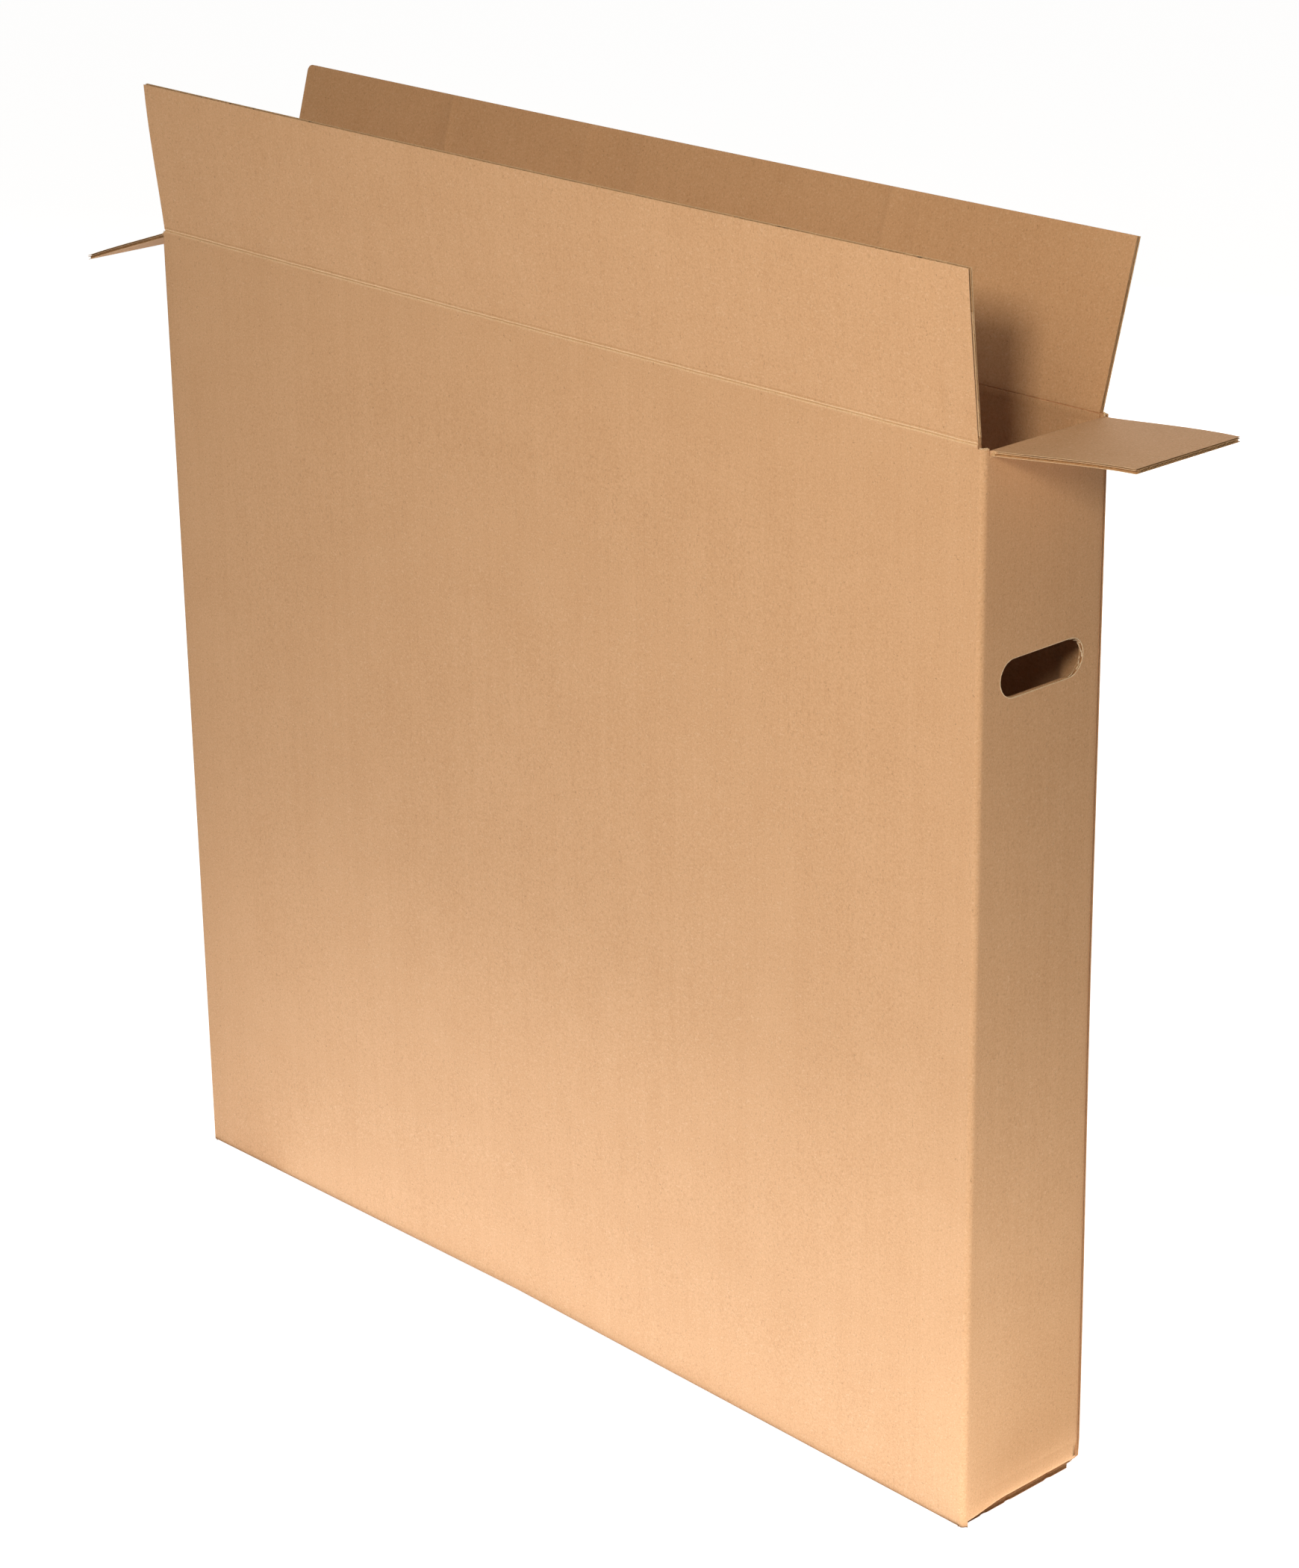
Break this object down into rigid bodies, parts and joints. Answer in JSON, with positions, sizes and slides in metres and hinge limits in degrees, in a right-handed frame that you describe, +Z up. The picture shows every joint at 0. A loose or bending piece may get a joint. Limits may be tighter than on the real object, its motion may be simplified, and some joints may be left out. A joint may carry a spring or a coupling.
{
  "type": "picture shipping box",
  "caption": "Tall narrow kraft corrugated carton for framed pictures, bottom folded shut, top flaps hinged open, obround hand hole in each end panel.",
  "frame": {"origin": "centre of the underside that the carton stands on", "axes": "+X along the long panels, +Y across the carton from the front panel to the back panel, +Z up"},
  "size_m": [1.4527, 0.2189, 1.2046],
  "materials": {
    "kraft_board_panels": "brown kraft liner on double-wall corrugated board, matt, with fine fibre specks",
    "kraft_board_flaps": "brown kraft liner on double-wall corrugated board, matt, with open flutes at the cut edges"
  },
  "bodies": {
    "carton": {"carton_body": "kraft_board_panels"},
    "front_flap": {"front_flap": "kraft_board_flaps"},
    "back_flap": {"back_flap": "kraft_board_flaps"},
    "right_end_flap": {"right_end_flap": "kraft_board_flaps"},
    "left_end_flap": {"left_end_flap": "kraft_board_flaps"}
  },
  "joints": [
    {"name": "front_crease", "type": "hinge", "parent": "carton", "child": "front_flap", "pos_m": [0, -0.08, 1.05], "axis": [1, 0, 0], "range_deg": [-96, 166]},
    {"name": "back_crease", "type": "hinge", "parent": "carton", "child": "back_flap", "pos_m": [0, 0.08, 1.0452], "axis": [-1, 0, 0], "range_deg": [-106, 156]},
    {"name": "right_end_crease", "type": "hinge", "parent": "carton", "child": "right_end_flap", "pos_m": [0.575, 0, 1.0404], "axis": [0, 1, 0], "range_deg": [-174.6, 87.4]},
    {"name": "left_end_crease", "type": "hinge", "parent": "carton", "child": "left_end_flap", "pos_m": [-0.575, 0, 1.0404], "axis": [0, -1, 0], "range_deg": [-198.5, 63.5]}
  ]
}
